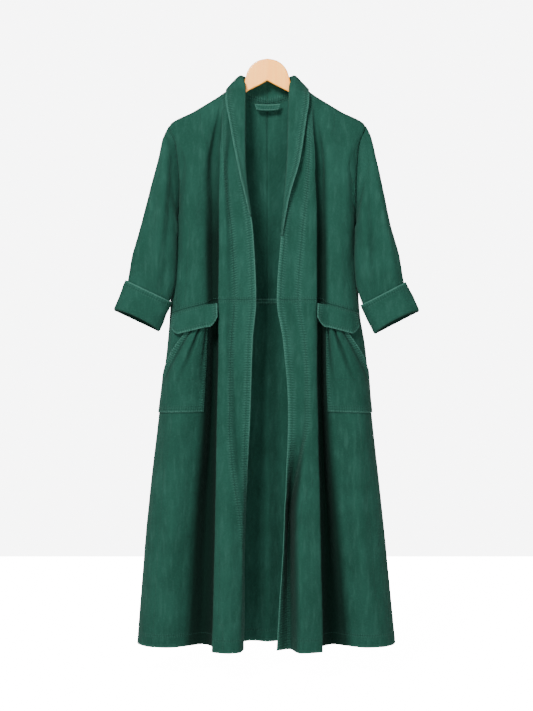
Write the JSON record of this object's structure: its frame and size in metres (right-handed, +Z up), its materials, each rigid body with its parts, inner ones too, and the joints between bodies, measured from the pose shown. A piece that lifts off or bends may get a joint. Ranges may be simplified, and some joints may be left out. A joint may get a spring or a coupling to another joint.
{
  "type": "duster coat on a wooden hanger",
  "caption": "Long open duster coat with a shawl collar, turned-back cuffs and patch pockets, hanging from a plain wooden hanger by its shoulders.",
  "frame": {"origin": "top of the hanger's wood, at its middle, where it is held", "axes": "+X to the right seen from the front of the coat, +Y to the back, +Z up"},
  "size_m": [0.6491, 0.154, 1.2682],
  "materials": {
    "green_twill": "matt washed cotton twill",
    "pale_wood": "smooth satin wood"
  },
  "bodies": {
    "root": {"upper_front_left": "green_twill", "upper_front_right": "green_twill", "upper_back_left": "green_twill", "upper_back_right": "green_twill", "skirt_front_left": "green_twill", "skirt_front_right": "green_twill", "skirt_back": "green_twill", "collar_left": "green_twill", "collar_right": "green_twill", "sleeve_left": "green_twill", "sleeve_right": "green_twill", "cuff_left": "green_twill", "cuff_right": "green_twill", "flap_left": "green_twill", "flap_right": "green_twill", "pocket_left": "green_twill", "pocket_right": "green_twill", "neck_tab": "green_twill", "waist_tape": "green_twill", "hanger": "pale_wood"}
  },
  "joints": []
}
